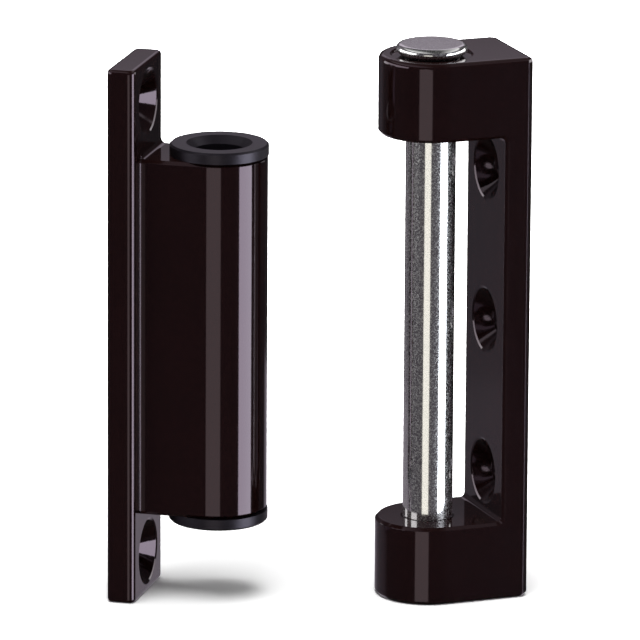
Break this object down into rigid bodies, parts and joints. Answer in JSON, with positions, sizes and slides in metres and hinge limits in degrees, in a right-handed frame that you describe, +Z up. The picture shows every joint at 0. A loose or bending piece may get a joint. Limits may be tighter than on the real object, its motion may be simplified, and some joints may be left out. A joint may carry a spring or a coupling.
{
  "type": "window hinge",
  "caption": "Lift-pin window hinge in two halves: a D-shaped frame leaf holding a headed steel pin, and a sash leaf with a bushed barrel that hangs on it.",
  "frame": {"origin": "centre of the frame leaf's row of three screw holes, on its back face, which lies against the window frame", "axes": "+Z up along the hinge pin, towards the pin's head; +X out of the frame leaf's back face, into the window frame; the pin's axis is in the plane Y = 0"},
  "size_m": [0.0644, 0.0327, 0.0902],
  "materials": {
    "leaf_lacquer": "glossy dark brown stove lacquer on zinc die casting",
    "pin_zinc": "bright zinc-plated steel, slightly grainy",
    "bush_plastic": "matt black moulded plastic"
  },
  "bodies": {
    "frame_half": {"frame_leaf": "leaf_lacquer"},
    "pin": {"hinge_pin": "pin_zinc"},
    "sash_half": {"sash_leaf": "leaf_lacquer", "upper_bush": "bush_plastic", "lower_bush": "bush_plastic"}
  },
  "joints": [
    {"name": "pin_draw", "type": "slide", "parent": "frame_half", "child": "pin", "axis": [0, 0, 1], "range_m": [0, 0.077]},
    {"name": "sash_swing", "type": "hinge", "parent": "frame_half", "child": "sash_half", "pos_m": [-0.0457, 0.0115, -0.00125], "axis": [0, 0, 1], "range_deg": [-75, 137]}
  ]
}
